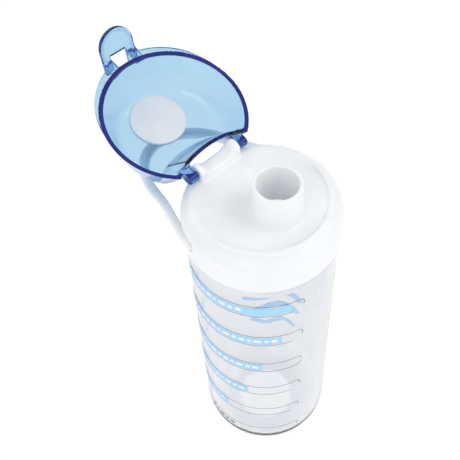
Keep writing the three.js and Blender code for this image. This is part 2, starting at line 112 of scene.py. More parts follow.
BAR_TOP_Z, BAR_SPACING, BAR_HEIGHT, BAR_COUNT, CLOSED_BAR = 170.7, 28.4, 8.6, 6, 2
BAR_RIGHT, BAR_LEFT, BAR_GAP, BAR_CORNER, BAR_LINE = -103.0, -236.0, 9.0, 2.6, 0.42
BAR_HOOK = [(0, 0), (0.15, 1.6), (0.7, 2.6)]  # degrees back from the right end, and down from the corner
FILL_ENDS = [-113.5, -120.5, -136.5, -149.5, -171.0]
FILL_START, FILL_MARGIN = 3.0, 2.2
DASH_LENGTHS, DASH_GAP, DASH_HEIGHT = [4.6, 3.2, 5.8, 2.6], 2.4, 2.6
DASH_START, DASH_INSET, DASH_STOP = -151.0, 3.5, 8.0
MARK_START, MARK_END = -166.0, -200.0
INK, INK_GAP = 0.05, 0.01
WAVES = [  # start and end in degrees, height, rise, number of waves, width
    (5, 66, 72, 5, 1.0, 6.5),
    (8, 70, 56, 6, 0.9, 6.0),
    (12, 60, 38, 4, 1.1, 4.5),
]


# ---- distance fields: below zero inside the material ----
def outline_distance(u, v, points):
    """Signed distance to a closed outline in (u, v)."""
    nearest = np.float32(FAR**2)
    inside = np.zeros(np.broadcast(u, v).shape, bool)
    from_u, from_v = points[-1]
    for to_u, to_v in points:
        run_u, run_v = to_u - from_u, to_v - from_v
        length2 = run_u**2 + run_v**2
        if length2 > 0:
            off_u, off_v = u - np.float32(from_u), v - np.float32(from_v)
            along = np.clip((off_u * run_u + off_v * run_v) / length2, 0, 1)
            nearest = np.minimum(nearest, (off_u - along * run_u) ** 2 + (off_v - along * run_v) ** 2)
        if run_v != 0:
            spans = (v >= min(from_v, to_v)) & (v < max(from_v, to_v))
            inside ^= spans & (u < from_u + (v - from_v) * (run_u / run_v))
        from_u, from_v = to_u, to_v
    return np.where(inside, -1, 1) * np.sqrt(nearest)


def join(a, b, reach=0.3):
    """Both materials, with a fillet of about that reach where they meet."""
    overlap = np.maximum(reach - np.abs(a - b), 0)
    return np.minimum(a, b) - overlap**2 / (4 * reach)


def common(a, b, reach=0.3):
    """Only where both are, with the edge between them rounded."""
    return -join(-a, -b, reach)


def cut(a, b, reach=0.3):
    """The first without the second, with the edge between them rounded."""
    return -join(-a, b, reach)


def between(value, low, high):
    return np.maximum(low - value, value - high)


def arc(centre_u, centre_v, radius_u, radius_v, start, end, steps):
    """Points on an elliptical arc, angles in degrees."""
    angles = np.radians(np.linspace(start, end, steps + 1))
    return [(centre_u + radius_u * math.cos(a), centre_v + radius_v * math.sin(a)) for a in angles]


def turned(x, y, z, profile, centre_y=0.0):
    """A turned shape about a vertical axis. A profile that starts on the axis runs on past it."""
    open_profile = [(PAST_AXIS if r == 0 else r, h) for r, h in profile]
    return outline_distance(np.hypot(x, y - centre_y), z, open_profile)


def lerp(a, b, t):
    return a + (b - a) * t


# ---- making meshes ----
def add_object(name, points, faces):
    """A mesh object from points in mm."""
    mesh = bpy.data.meshes.new(name)
    mesh.from_pydata([tuple(p) for p in np.asarray(points, float) * MM], [], [tuple(f) for f in faces])
    mesh.validate()
    mesh.shade_smooth()
    piece = bpy.data.objects.new(name, mesh)
    bpy.context.scene.collection.objects.link(piece)
    return piece


def gradient(field, points, reach=0.04):
    """The field's uphill direction at each point."""
    x, y, z = points.T.astype(np.float64)
    slope = np.stack(
        [
            field(x + reach, y, z) - field(x - reach, y, z),
            field(x, y + reach, z) - field(x, y - reach, z),
            field(x, y, z + reach) - field(x, y, z - reach),
        ],
        axis=1,
    )
    return slope / (2 * reach)


def unit(vectors):
    return vectors / np.maximum(np.linalg.norm(vectors, axis=1, keepdims=True), 1e-6)


def surface_of(field, low, high):
    """Points, faces and normals of the surface where the field is zero. The points are drawn onto it."""
    axes = [np.arange(a, b + STEP, STEP, dtype=np.float32) for a, b in zip(low, high)]
    x, y, z = np.meshgrid(*axes, indexing="ij", sparse=True)
    band = 3 * STEP
    values = np.broadcast_to(field(x, y, z), [len(a) for a in axes])
    grid = openvdb.FloatGrid(band)
    grid.copyFromArray(np.ascontiguousarray(np.clip(values, -band, band), np.float32))
    points, faces = grid.convertToQuads(isovalue=0.0)
    points = points.astype(np.float64) * STEP + np.array(low)
    for _ in range(3):
        slope = gradient(field, points)
        steepness = np.maximum((slope**2).sum(1), LEAST_STEEPNESS)
        move = (field(*points.T) / steepness)[:, None] * slope
        points -= np.clip(move, -STEP / 2, STEP / 2)
    return points, faces, unit(gradient(field, points, SHADING_REACH))


def field_piece(name, field, low, high, move=None, second=None):
    """A piece whose surface and shading normals both come from a distance field.
    The faces whose middles second(points) picks take the piece's second material."""
    points, faces, normals = surface_of(field, low, high)
    picked = second(points[faces].mean(axis=1)) if second else np.zeros(len(faces), bool)
    if move is not None:
        points, normals = move(points, normals)
    piece = add_object(name, points, faces)
    piece.data.normals_split_custom_set_from_vertices([tuple(n) for n in normals])
    piece.data.polygons.foreach_set("material_index", picked.astype(np.int32))
    return piece


def opened(points, normals):
    """Turns closed-lid points and normals about the hinge to where the lid rests."""
    back = np.array(Matrix.Rotation(-OPEN_ANGLE, 3, "X"))
    pivot = np.array([0, HINGE_Y, HINGE_Z])
    return (points - pivot) @ back.T + pivot, normals @ back.T


def lathe_mesh(profile, sides):
    """Points and faces of a closed turned shape. The profile runs anticlockwise in (radius, height)."""
    points, faces, rings = [], [], []
    for r, h in profile:
        if r == 0:
            rings.append([len(points)] * sides)
            points.append((0, 0, h))
            continue
        rings.append(list(range(len(points), len(points) + sides)))
        for i in range(sides):
            a = TURN * i / sides
            points.append((r * math.cos(a), r * math.sin(a), h))
    for low, high in zip(rings, rings[1:] + rings[:1]):
        for i in range(sides):
            j = (i + 1) % sides
            corners = [low[i], low[j], high[j], high[i]]
            faces.append([c for k, c in enumerate(corners) if c != corners[k - 1]])
    return points, [f for f in faces if len(f) > 2]


# ---- the bottle ----
def body_profile():
    inner = BODY_R - BODY_WALL
    inner_fillet = BASE_FILLET - BODY_WALL / 2
    neck_inner = NECK_R - NECK_WALL
    shoulder_low = SHOULDER_Z - SHOULDER_FILLET
    inner_low, inner_high = inner_fillet + BODY_WALL, shoulder_low - SHOULDER_FILLET
    heel = arc(BODY_R - BASE_FILLET, BASE_FILLET, BASE_FILLET, BASE_FILLET, -90, 0, 24)
    return [
        (0, 0),
        *heel,
        *[(BODY_R, lerp(BASE_FILLET, shoulder_low, i / BODY_RINGS)) for i in range(1, BODY_RINGS)],
        *arc(BODY_R - SHOULDER_FILLET, shoulder_low, SHOULDER_FILLET, SHOULDER_FILLET, 0, 90, 12),
        *arc(NECK_R + NECK_ROOT, SHOULDER_Z + NECK_ROOT, NECK_ROOT, NECK_ROOT, 270, 180, 4),
        *arc(NECK_R - NECK_BREAK, MOUTH_Z - NECK_BREAK, NECK_BREAK, NECK_BREAK, 0, 90, 5),
        *arc(neck_inner + NECK_BREAK, MOUTH_Z - NECK_BREAK, NECK_BREAK, NECK_BREAK, 90, 180, 5),
        *arc(neck_inner, inner_high, inner - neck_inner, SHOULDER_FILLET, 75, 0, 10),
        *[(inner, lerp(inner_high, inner_low, i / BODY_RINGS)) for i in range(1, BODY_RINGS)],
        *arc(inner - inner_fillet, inner_low, inner_fillet, inner_fillet, 0, -90, 24),
        (0, BODY_WALL),
    ]


def bottle():
    return add_object("bottle_clear", *lathe_mesh(body_profile(), BODY_SIDES))


def neck_thread():
    """The helical ridge round the neck, buried a little at its root and faded at both ends."""
    sweep = THREAD_TURNS * TURN
    steps, sides, least = 150, 12, 0.02
    points = []
    for i in range(steps + 1):
        angle = sweep * i / steps
        fade = max(least, min(1, angle / THREAD_RUN_OUT, (sweep - angle) / THREAD_RUN_OUT))
        for k in range(sides):
            a = TURN * k / sides
            out = (THREAD_HEIGHT + THREAD_BURIED) / 2 * math.cos(a) + (THREAD_HEIGHT - THREAD_BURIED) / 2
            r = NECK_R + (out * fade if out > 0 else out)
            z = THREAD_START_Z + THREAD_PITCH * angle / TURN + THREAD_HALF_WIDTH * math.sin(a)
            points.append((r * math.cos(angle), r * math.sin(angle), z))
    faces = []
    for i in range(steps):
        for k in range(sides):
            n = (k + 1) % sides
            faces.append([i * sides + k, (i + 1) * sides + k, (i + 1) * sides + n, i * sides + n])
    faces.append(list(range(sides)))
    faces.append([steps * sides + k for k in range(sides - 1, -1, -1)])
    return add_object("neck_thread", points, faces)


# ---- the screw cap ----
def thread_ridge(x, y, z, radius, start_z):
    """A helical ridge standing on a wall of that radius."""
    around = np.arctan2(y, x)
    off_wall = np.abs(np.hypot(x, y) - radius)
    sweep = THREAD_TURNS * TURN
    least = 0.01
    ridge = FAR
    for lap in range(math.ceil(THREAD_TURNS) + 1):
        angle = around + TURN * lap
        fade = np.minimum(angle, sweep - angle) / THREAD_RUN_OUT
        height = THREAD_HEIGHT * np.clip(fade, 0, 1)
        up = z - start_z - THREAD_PITCH * angle / TURN
        section = np.hypot(up, off_wall * THREAD_HALF_WIDTH / (height + least))
        ridge = np.minimum(ridge, section - THREAD_HALF_WIDTH)
    return ridge


def cap_profile():
    shoulder_z = CAP_RIM_Z - CAP_SHOULDER_DROP
    return [
        (0, DECK_UNDER_Z),
        *[(CAP_BORE_R - inward, DECK_UNDER_Z - below) for inward, below in UNDER_CORNER],
        (CAP_BORE_R, CAP_BORE_TOP_Z),
        (CAP_BORE_R, CAP_BOTTOM_Z),
        *arc(CAP_R - CAP_EDGE, CAP_BOTTOM_Z + CAP_EDGE, CAP_EDGE, CAP_EDGE, -90, 0, 5),
        *arc(CAP_RIM_R, shoulder_z, CAP_R - CAP_RIM_R, CAP_SHOULDER_DROP, 0, 90, 20),
        *[(CAP_RIM_R - inward, CAP_RIM_Z - down) for inward, down in BASIN_SLOPE],
        (DECK_R, DECK_Z),
        (0, DECK_Z),
    ]


SPOUT_PROFILE = [
    (0, DECK_UNDER_Z + BURIED),
    (SPOUT_BASE_R, DECK_UNDER_Z + BURIED),
    (SPOUT_BASE_R, DECK_Z),
    *arc(SPOUT_TOP_R - SPOUT_LIP, SPOUT_TOP_Z - SPOUT_LIP, SPOUT_LIP, SPOUT_LIP, 0, 90, 5),
    (0, SPOUT_TOP_Z),
]
BORE_PROFILE = [
    (0, DECK_UNDER_Z - PAST),
    (SPOUT_BORE_R - SPOUT_TAPER, DECK_UNDER_Z - PAST),
    (SPOUT_BORE_R, SPOUT_TOP_Z + PAST),
    (0, SPOUT_TOP_Z + PAST),
]


def snap_bead(x, y, z):
    """The raised ring round the front of the deck. It sinks into the rim at both ends."""
    from_front = np.abs(np.arctan2(x, -y))
    sunk = BEAD_SINK * BEAD_HEIGHT * (1 - np.clip((BEAD_HALF_SPAN - from_front) / BEAD_RUN_OUT, 0, 1))
    across = (np.hypot(x, y) - BEAD_R) / BEAD_HALF_WIDTH
    up = (z - CAP_RIM_Z + sunk) / BEAD_HEIGHT
    return (np.hypot(across, up) - 1) * BEAD_HEIGHT


def hinge_ridge(x, y, z):
    """A ridge with a horn at each end and a shallow saddle between them."""
    front_y, rear_y = HINGE_Y - HORN_R, HINGE_Y + HORN_R
    buried = DECK_Z - BURIED
    foot = [(front_y - forward, DECK_Z + height) for forward, height in RIDGE_FOOT]
    crown = arc(HINGE_Y, HINGE_Z, HORN_R, HORN_R, 0, 180, 20)
    outline = [(rear_y, buried), *crown, *foot, (foot[-1][0], buried)]
    bar = common(outline_distance(y, z, outline), np.abs(x) - RIDGE_HALF, RIDGE_EDGE)
    climb = HINGE_Z + HORN_R - SADDLE_END_DROP - SADDLE_Z
    across = np.abs(x) / (RIDGE_HALF - HORN_W)
    saddle = SADDLE_Z + climb * np.minimum(across, SADDLE_REACH) ** 4
    return common(bar, (z - saddle) * SADDLE_STEEPNESS, RIDGE_CROWN)


def cap_field(x, y, z):
    solid = turned(x, y, z, cap_profile())
    from_end = np.clip((RIDGE_HALF - np.abs(x)) / HORN_W, 0, 1)
    solid = join(solid, hinge_ridge(x, y, z), lerp(RIDGE_END_FILLET, RIDGE_FILLET, from_end))
    solid = join(solid, snap_bead(x, y, z), BEAD_FILLET)
    solid = join(solid, turned(x, y, z, SPOUT_PROFILE, SPOUT_Y), SPOUT_FILLET)
    solid = cut(solid, turned(x, y, z, BORE_PROFILE, SPOUT_Y), SPOUT_LIP)
    return join(solid, thread_ridge(x, y, z, CAP_BORE_R, THREAD_START_Z - THREAD_PITCH / 2))


def screw_cap():
    reach = CAP_R + MARGIN
    low = (-reach, -reach, CAP_BOTTOM_Z - MARGIN)
    high = (reach, reach, SPOUT_TOP_Z + MARGIN)
    return field_piece("cap_shell", cap_field, low, high)


# ---- the carry loop ----
def smooth_route(points):
    """A Catmull-Rom curve through the points."""
    per_span = 16
    pts = [2 * points[0] - points[1], *points, 2 * points[-1] - points[-2]]
    route = []
    for a, b, c, d in zip(pts, pts[1:], pts[2:], pts[3:]):
        square = 2 * a - 5 * b + 4 * c - d
        cube = 3 * b - a - 3 * c + d
        for i in range(per_span):
            t = i / per_span
            route.append(b + 0.5 * ((c - a) * t + square * t**2 + cube * t**3))
    route.append(points[-1])
    return np.array(route)


def loop_route():
    half = list(LOOP_HALF_ROUTE)
    plan = half + [(-x, y) for x, y in reversed(half[:-1])]
    low_y, high_y = half[0][1], half[-1][1]
    rise = (LOOP_TIP_Z - LOOP_ROOT_Z) / (high_y - low_y)
    return smooth_route([np.array([x, y, LOOP_ROOT_Z + rise * (y - low_y)]) for x, y in plan])


def squared(value):
    """A sine or cosine drawn towards its ends, which turns an ellipse into a rounded box."""
    return math.copysign(abs(value) ** LOOP_ROUNDING, value)


def carry_loop():
    """A bar along the route: tall and thin at the skirt, low and wide at the finger's end."""
    route = loop_route()
    tangents = np.gradient(route, axis=0)
    sides = LOOP_SIDES
    points = []
    for i, (centre, tangent) in enumerate(zip(route, tangents)):
        tipward = math.sin(math.pi * i / (len(route) - 1))
        half_t = lerp(LOOP_ROOT_T, LOOP_TIP_T, tipward) / 2
        half_h = lerp(LOOP_ROOT_H, LOOP_TIP_H, tipward) / 2
        out = np.array([tangent[1], -tangent[0], 0]) / math.hypot(tangent[0], tangent[1])
        for k in range(sides):
            a = TURN * k / sides
            across = squared(math.cos(a)) * half_t
            up = squared(math.sin(a)) * half_h
            points.append(centre + out * across + np.array([0, 0, up]))
    faces = []
    for i in range(len(route) - 1):
        for k in range(sides):
            n = (k + 1) % sides
            faces.append([i * sides + k, i * sides + n, (i + 1) * sides + n, (i + 1) * sides + k])
    last = (len(route) - 1) * sides
    faces.append([*range(sides - 1, -1, -1)])
    faces.append([last + k for k in range(sides)])
    return add_object("loop_bar", points, faces)


# ---- the flip lid, shaped closed ----
def dome_profile(inset, roof_inset, low_z):
    """A drafted wall, a fillet that runs on from it, and the flat top."""
    rim_r = LID_R - inset
    fillet = LID_FILLET - inset
    roof_z = LID_ROOF_Z - roof_inset
    fillet_z = roof_z - fillet
    wall_top_z = fillet_z + fillet * math.sin(LID_DRAFT)
    wall_top_r = rim_r - (wall_top_z - LID_RIM_Z) * math.tan(LID_DRAFT)
    fillet_r = wall_top_r - fillet * math.cos(LID_DRAFT)
    return [
        (0, low_z),
        (rim_r, low_z),
        (rim_r, LID_RIM_Z),
        *arc(fillet_r, fillet_z, fillet, fillet, math.degrees(LID_DRAFT), 90, 24),
        (0, roof_z),
    ]


def behind_scoop(x, y, z, forward):
    """Everything behind the slanted rear wall: an arc over the ridge, and a straight stretch each side."""
    across = np.abs(x)
    rise = SCOOP_ARC_R - np.sqrt(SCOOP_ARC_R**2 - np.minimum(across, SCOOP_ARC_HALF) ** 2)
    arc_end = SCOOP_Y + SCOOP_ARC_R - math.sqrt(SCOOP_ARC_R**2 - SCOOP_ARC_HALF**2)
    outward = np.clip((across - SCOOP_ARC_HALF) / (SCOOP_HALF - SCOOP_ARC_HALF), 0, 2)
    edge = SCOOP_Y + rise + (SCOOP_END_Y - arc_end) * outward
    gap = (edge - forward - SCOOP_SLANT * (z - LID_RIM_Z) - y) / math.hypot(1, SCOOP_SLANT)
    return np.maximum(gap, across - SCOOP_HALF)


def tab_plane(y, z):
    """How far along the finger tab a point is, and how far above the tab's face."""
    c, s = math.cos(TAB_DROOP), math.sin(TAB_DROOP)
    along = -((y - TAB_TOP_Y) * c + (z - TAB_TOP_Z) * s)
    above = (y - TAB_TOP_Y) * s - (z - TAB_TOP_Z) * c
    return along, above


def tab_outline(x, along, inset, start):
    half = TAB_HALF - inset
    end = TAB_LENGTH - TAB_HALF
    straight = np.maximum(np.abs(x) - half, start - along)
    rounded = np.hypot(x, along - end) - half
    return np.where(along > end, rounded, straight)


def finger_tab(x, y, z):
    along, above = tab_plane(y, z)
    outer = tab_outline(x, along, 0, -TAB_OVERLAP)
    plate = common(outer, between(above, -TAB_T, 0), TAB_EDGE)
    raised = common(outer, between(above, -TAB_BORDER_ROOT, TAB_BORDER_H), TAB_EDGE)
    border = cut(raised, tab_outline(x, along, TAB_BORDER, -TAB_PANEL_PAST), TAB_EDGE)
    return join(plate, border, TAB_EDGE)


def tab_web(x, y, z):
    """The strip on each side of the window that ties the tab to the lip."""
    lean = 1 / math.tan(TAB_DROOP)
    top_z = LID_RIM_Z + LIP_T + WEB_OVER
    front = TAB_TOP_Y + (z - TAB_TOP_Z) * lean - WEB_INTO_TAB
    slab = np.maximum(front - y, y - WEB_ROOT_Y)
    slab = np.maximum(slab, between(z, LID_RIM_Z, top_z))
    return common(slab, between(np.abs(x), WINDOW_HALF, TAB_HALF), WEB_EDGE)


def tab_window(x, y, z):
    low_z = TAB_TOP_Z - WINDOW_LENGTH * math.sin(TAB_DROOP)
    slot = np.maximum(y - WINDOW_Y, low_z - z)
    return np.maximum(slot, np.abs(x) - WINDOW_HALF)


def hinge_ear(x, y, z):
    front = SCOOP_Y + EAR_ROOT
    outline = [
        (front, HINGE_Z - EAR_R + EAR_UNDER),
        *arc(HINGE_Y, HINGE_Z, EAR_R, EAR_R, -70, 90, 12),
        (front, HINGE_Z + EAR_R),
    ]
    inner = RIDGE_HALF + EAR_GAP
    return common(outline_distance(y, z, outline), between(np.abs(x), inner, inner + EAR_W), EAR_EDGE)


def seal_boss(x, y, z):
    face_z = SPOUT_TOP_Z + TOUCH + SEAL_FACE_T + TOUCH
    return np.maximum(np.hypot(x, y - SPOUT_Y) - SEAL_BOSS_R, between(z, face_z, LID_ROOF_Z - BURIED))


def lid_field(x, y, z):
    lip = np.maximum(np.hypot(x, y + LIP_FORWARD) - LIP_R, between(z, LID_RIM_Z, LID_RIM_Z + LIP_T))
    outside = join(turned(x, y, z, dome_profile(0, 0, LID_RIM_Z)), lip, LIP_FILLET)
    outside = join(outside, join(tab_web(x, y, z), finger_tab(x, y, z), LIP_FILLET), LIP_FILLET)
    outside = cut(outside, tab_window(x, y, z), WINDOW_EDGE)
    hollow = turned(x, y, z, dome_profile(LID_WALL, LID_ROOF_WALL, LID_RIM_Z - LID_HOLLOW_BELOW))
    hollow = cut(hollow, behind_scoop(x, y, z, LID_WALL), LID_INNER_FILLET)
    shell = cut(outside, behind_scoop(x, y, z, 0), LID_BREAK)
    shell = cut(shell, hollow, LID_BREAK)
    shell = join(shell, seal_boss(x, y, z), LID_BREAK)
    return join(shell, hinge_ear(x, y, z), EAR_FILLET)


def on_rim(points):
    """Which points lie on the dome's cut edge, the lip left out."""
    x, y, z = points.T
    radius = np.hypot(x, y)
    on_wall = (radius > LID_R - LID_WALL - RIM_BAND_IN) & (radius < LID_R + RIM_BAND_OUT)
    return (z < LID_RIM_Z + RIM_BAND_H) & on_wall


def flip_lid():
    reach = LID_R + MARGIN
    low = (-reach, TAB_TOP_Y - TAB_FORWARD, TAB_TOP_Z - TAB_LENGTH - SMALL_MARGIN)
    high = (reach, LID_R + SMALL_MARGIN, LID_ROOF_Z + MARGIN)
    return field_piece("lid_shell", lid_field, low, high, opened, on_rim)


def seal_profile():
    skirt_inner = SEAL_BOSS_R + TOUCH
    face_z = SPOUT_TOP_Z + TOUCH
    return [
        (0, face_z),
        *arc(SEAL_R - SEAL_EDGE, face_z + SEAL_EDGE, SEAL_EDGE, SEAL_EDGE, -90, 0, 8),
        (SEAL_R, SEAL_TOP_Z),
        (skirt_inner, SEAL_TOP_Z),
        (skirt_inner, face_z + SEAL_FACE_T),
        (0, face_z + SEAL_FACE_T),
    ]


def spout_seal():
    points, faces = lathe_mesh(seal_profile(), SEAL_SIDES)
    moved = np.array(points) + np.array([0, SPOUT_Y, 0])
    placed, _ = opened(moved, moved)
    return add_object("seal_cup", placed, faces)


# ---- the printed level bars ----
def wall_ribbon(route, width, level=1):
    """Points and faces of a strip of ink on the body's wall. The route is in (degrees round, height)."""
    arc_mm = math.radians(1) * BODY_R
    flat = np.array([(a * arc_mm, h) for a, h in route])
    tangent = np.gradient(flat, axis=0)
    side = np.stack([-tangent[:, 1], tangent[:, 0]], axis=1)
    side /= np.linalg.norm(side, axis=1, keepdims=True)
    low_r, high_r = BODY_R + INK * (level - 1) + INK_GAP, BODY_R + INK * level
    corners = [(-1, low_r), (1, low_r), (1, high_r), (-1, high_r)]
    points = []
    for centre, across in zip(flat, side):
        for sign, radius in corners:
            s, h = centre + across * sign * width / 2
            points.append((radius * math.cos(s / BODY_R), radius * math.sin(s / BODY_R), h))
    faces = []
    for i in range(len(route) - 1):
        for k in range(4):
            n = (k + 1) % 4
            faces.append([4 * i + k, 4 * i + n, 4 * i + 4 + n, 4 * i + 4 + k])
    last = 4 * (len(route) - 1)
    faces.append([3, 2, 1, 0])
    faces.append([last, last + 1, last + 2, last + 3])
    return points, faces


def merge(parts):
    points, faces = [], []
    for more_points, more_faces in parts:
        faces += [[len(points) + i for i in face] for face in more_faces]
        points += more_points
    return points, faces


def level_line(start, end, height, step=1.5):
    count = max(2, int(abs(end - start) / step) + 1)
    return [(a, height) for a in np.linspace(start, end, count)]


def bar_outline(index):
    """A rounded outline, open on the right below the hook on all bars but the closed one."""
    top = BAR_TOP_Z - BAR_SPACING * index
    bottom = top - BAR_HEIGHT
    corner = BAR_CORNER
    corner_deg = math.degrees(corner / BODY_R)
    right, left = BAR_RIGHT, BAR_LEFT
    closed = index == CLOSED_BAR
    upper = level_line(left + corner_deg, right - corner_deg, top)
    upper += arc(right - corner_deg, top - corner, corner_deg, corner, 80, 0, 6)
    lower = level_line(left + corner_deg, right - corner_deg if closed else right - BAR_GAP, bottom)
    left_end = arc(left + corner_deg, top - corner, corner_deg, corner, 90, 180, 6)
    left_end += arc(left + corner_deg, bottom + corner, corner_deg, corner, 180, 270, 6)
    hook = [(right - back, top - corner - down) for back, down in BAR_HOOK]
    if closed:
        hook = arc(right - corner_deg, bottom + corner, corner_deg, corner, 0, -90, 6)
    return [wall_ribbon(part, BAR_LINE) for part in (upper, lower, left_end, hook)]


def printed_outlines():
    return add_object("bar_outlines", *merge([r for i in range(BAR_COUNT) for r in bar_outline(i)]))


def bar_middle(index):
    return BAR_TOP_Z - BAR_SPACING * index - BAR_HEIGHT / 2


def printed_fills():
    parts = []
    for index, end in enumerate(FILL_ENDS):
        route = level_line(BAR_LEFT + FILL_START, end, bar_middle(index))
        parts.append(wall_ribbon(route, BAR_HEIGHT - FILL_MARGIN))
    return add_object("bar_fills", *merge(parts))


def dashes(from_deg, to_deg, middle, level):
    """Plain dashes of mixed length along a bar."""
    parts, at = [], from_deg
    for length in itertools.cycle(DASH_LENGTHS):
        if at - length <= to_deg:
            return parts
        parts.append(wall_ribbon(level_line(at, at - length, middle, step=1.0), DASH_HEIGHT, level))
        at -= length + DASH_GAP


def printed_dashes():
    """White dashes over the fills. On the first bar they start further along."""
    parts = []
    for index, end in enumerate(FILL_ENDS):
        start = DASH_START if index == 0 else end - DASH_INSET
        parts += dashes(start, BAR_LEFT + DASH_STOP, bar_middle(index), 2)
    return add_object("bar_dashes", *merge(parts))


def printed_marks():
    """Grey dashes on the last bar, which has no fill."""
    return add_object("bar_marks", *merge(dashes(MARK_START, MARK_END, bar_middle(BAR_COUNT - 1), 1)))


def wave_line(start, end, height, rise, waves):
    steps = 40
    shares = [i / steps for i in range(steps + 1)]
    return [(lerp(start, end, t), height + rise * math.sin(TURN * waves * t)) for t in shares]


def printed_waves():
    """Three plain waves on the back of the body."""
    parts = [wall_ribbon(wave_line(*shape), width) for *shape, width in WAVES]
    return add_object("back_waves", *merge(parts))


# ---- materials ----
NOISE_LOW, NOISE_HIGH, NOISE_DETAIL = 0.3, 0.7, 3.0
MATT_MOTTLE, MATT_GLOSS, MATT_GRAIN, GRAIN_DEPTH = 60, 220, 2600, 0.0001
MATT_IOR, MILK_RADIUS, MILK_SCALE = 1.49, (1.0, 1.0, 1.0), 0.0025
CLEAR_MOTTLE, CLEAR_GLOSS, CLEAR_ROUGHEST = 45, 160, 0.035
INK_MOTTLE, INK_GLOSS, INK_SMOOTH, INK_ROUGH = 900, 400, 0.35, 0.5
BLUE_TINT, BLUE_DENSITY = (0.25, 0.53, 0.86), 320


def new_material(name):
    material = bpy.data.materials.new(name)
    material.use_nodes = True
    nodes = material.node_tree.nodes
    shader = next(n for n in nodes if n.type == "BSDF_PRINCIPLED")
    return material, nodes, material.node_tree.links, shader


def noise(nodes, links, scale):
    spot = nodes.new("ShaderNodeTexCoord")
    texture = nodes.new("ShaderNodeTexNoise")
    texture.inputs["Scale"].default_value = scale
    texture.inputs["Detail"].default_value = NOISE_DETAIL
    links.new(spot.outputs["Object"], texture.inputs["Vector"])
    return texture.outputs["Fac"]


def spread(nodes, links, source, low, high, target):
    """Drives a value with noise, between low and high."""
    remap = nodes.new("ShaderNodeMapRange")
    remap.inputs["To Min"].default_value = low
    remap.inputs["To Max"].default_value = high
    remap.inputs["From Min"].default_value = NOISE_LOW
    remap.inputs["From Max"].default_value = NOISE_HIGH
    links.new(source, remap.inputs["Value"])
    links.new(remap.outputs["Result"], target)


def tint(nodes, links, source, dark, light, target):
    """Drives a colour with noise, between two shades."""
    ramp = nodes.new("ShaderNodeValToRGB")
    ramp.color_ramp.elements[0].position = NOISE_LOW
    ramp.color_ramp.elements[1].position = NOISE_HIGH
    ramp.color_ramp.elements[0].color = (*dark, 1)
    ramp.color_ramp.elements[1].color = (*light, 1)
    links.new(source, ramp.inputs["Fac"])
    links.new(ramp.outputs["Color"], target)


def bump(nodes, links, source, strength, distance, shader):
    node = nodes.new("ShaderNodeBump")
    node.inputs["Strength"].default_value = strength
    node.inputs["Distance"].default_value = distance
    links.new(source, node.inputs["Height"])
    links.new(node.outputs["Normal"], shader.inputs["Normal"])


def moulded_white(name, dark, light, smooth, rough, grain, milk):
    """White plastic or silicone: a faint mottle, an uneven gloss, a fine grain and a little depth."""
    material, nodes, links, shader = new_material(name)
    tint(nodes, links, noise(nodes, links, MATT_MOTTLE), dark, light, shader.inputs["Base Color"])
    spread(nodes, links, noise(nodes, links, MATT_GLOSS), smooth, rough, shader.inputs["Roughness"])
    bump(nodes, links, noise(nodes, links, MATT_GRAIN), grain, GRAIN_DEPTH, shader)
    shader.inputs["Subsurface Weight"].default_value = milk
    shader.inputs["Subsurface Radius"].default_value = MILK_RADIUS
    shader.inputs["Subsurface Scale"].default_value = MILK_SCALE
    shader.inputs["IOR"].default_value = MATT_IOR
    return material


def clear_plastic(name, dark, light, absorb, density, see_through=1.0, ior=1.42):
    """Glossy clear plastic. Rays to the lamps go straight through, so that what is behind it is lit."""
    material, nodes, links, shader = new_material(name)
    tint(nodes, links, noise(nodes, links, CLEAR_MOTTLE), dark, light, shader.inputs["Base Color"])
    spread(nodes, links, noise(nodes, links, CLEAR_GLOSS), 0.0, CLEAR_ROUGHEST, shader.inputs["Roughness"])
    shader.inputs["Transmission Weight"].default_value = see_through
    shader.inputs["IOR"].default_value = ior
    volume = nodes.new("ShaderNodeVolumeAbsorption")
    volume.inputs["Color"].default_value = (*absorb, 1)
    volume.inputs["Density"].default_value = density
    output = next(n for n in nodes if n.type == "OUTPUT_MATERIAL")
    links.new(volume.outputs["Volume"], output.inputs["Volume"])
    straight = nodes.new("ShaderNodeBsdfTransparent")
    straight.inputs["Color"].default_value = (*light, 1)
    path = nodes.new("ShaderNodeLightPath")
    mix = nodes.new("ShaderNodeMixShader")
    links.new(path.outputs["Is Shadow Ray"], mix.inputs["Fac"])
    links.new(shader.outputs["BSDF"], mix.inputs[1])
    links.new(straight.outputs["BSDF"], mix.inputs[2])
    links.new(mix.outputs["Shader"], output.inputs["Surface"])
    return material


def ink(name, dark, light, painted_glow=(0, 0, 0)):
    """Printed ink. A little painted glow, emission on ink that is no lamp, stands for the light that comes
    through a thin print.
    """
    material, nodes, links, shader = new_material(name)
    tint(nodes, links, noise(nodes, links, INK_MOTTLE), dark, light, shader.inputs["Base Color"])
    spread(nodes, links, noise(nodes, links, INK_GLOSS), INK_SMOOTH, INK_ROUGH, shader.inputs["Roughness"])
    # painted light: the emission colour is a glow that stands in for light coming through the print
    shader.inputs["Emission Color"].default_value = (*painted_glow, 1)
    shader.inputs["Emission Strength"].default_value = 1.0
    return material


def white_plastic():
    dark, light = (0.865, 0.883, 0.908), (0.905, 0.922, 0.942)
    return moulded_white("white_moulding", dark, light, smooth=0.32, rough=0.41, grain=0.25, milk=0.3)


def soft_silicone():
    dark, light = (0.8, 0.82, 0.86), (0.86, 0.875, 0.9)
    return moulded_white("soft_seal", dark, light, smooth=0.51, rough=0.6, grain=0.4, milk=0.2)


def clear_body_plastic():
    dark, light, absorb = (0.852, 0.863, 0.885), (0.875, 0.883, 0.9), (0.62, 0.67, 0.74)
    return clear_plastic("clear_moulding", dark, light, absorb, density=7, ior=1.36)


def blue_plastic():
    dark, light = (0.7, 0.89, 0.9), (0.74, 0.92, 0.92)
    return clear_plastic("blue_moulding", dark, light, BLUE_TINT, BLUE_DENSITY)


